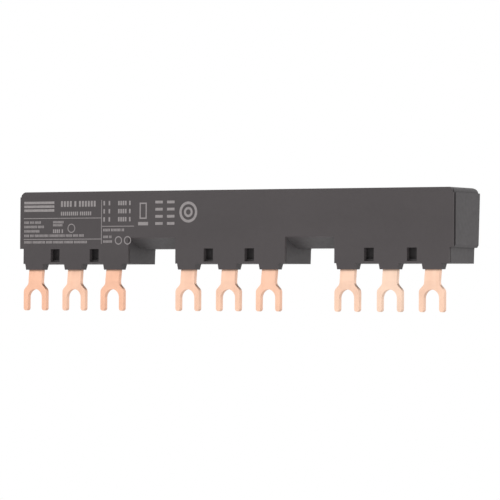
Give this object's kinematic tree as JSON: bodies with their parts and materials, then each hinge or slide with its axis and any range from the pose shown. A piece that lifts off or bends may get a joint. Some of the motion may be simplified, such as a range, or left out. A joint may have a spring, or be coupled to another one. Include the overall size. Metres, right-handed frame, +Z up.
{
  "type": "comb busbar",
  "caption": "Insulated comb busbar with copper fork tongues in groups, for feeding a row of motor starters from one three-phase supply.",
  "frame": {"origin": "centre of the middle tongue's slot root, on that tongue's front face", "axes": "+X along the bar to the right seen from the front, +Y from the front face to the back, +Z up, away from the prong tips"},
  "size_m": [0.1483, 0.0156, 0.0354],
  "materials": {
    "housing_plastic": "dark grey moulded plastic, fine matt grain",
    "cover_plastic": "dark grey moulded plastic, fine matt grain, slightly warm",
    "tongue_copper": "bare rolled copper strip, satin, pale pink-orange",
    "bar_copper": "bare rolled copper bar, satin",
    "insulating_sheet": "plain insulating sheet, natural colour"
  },
  "bodies": {
    "root": {"housing": "housing_plastic", "front_cover": "cover_plastic", "busbar_l1": "bar_copper", "busbar_l2": "bar_copper", "busbar_l3": "bar_copper", "separator_l1_l2": "insulating_sheet", "separator_l2_l3": "insulating_sheet", "tongue_a_l1": "tongue_copper", "tongue_a_l2": "tongue_copper", "tongue_a_l3": "tongue_copper", "tongue_b_l1": "tongue_copper", "tongue_b_l2": "tongue_copper", "tongue_b_l3": "tongue_copper", "tongue_c_l1": "tongue_copper", "tongue_c_l2": "tongue_copper", "tongue_c_l3": "tongue_copper"}
  },
  "joints": []
}
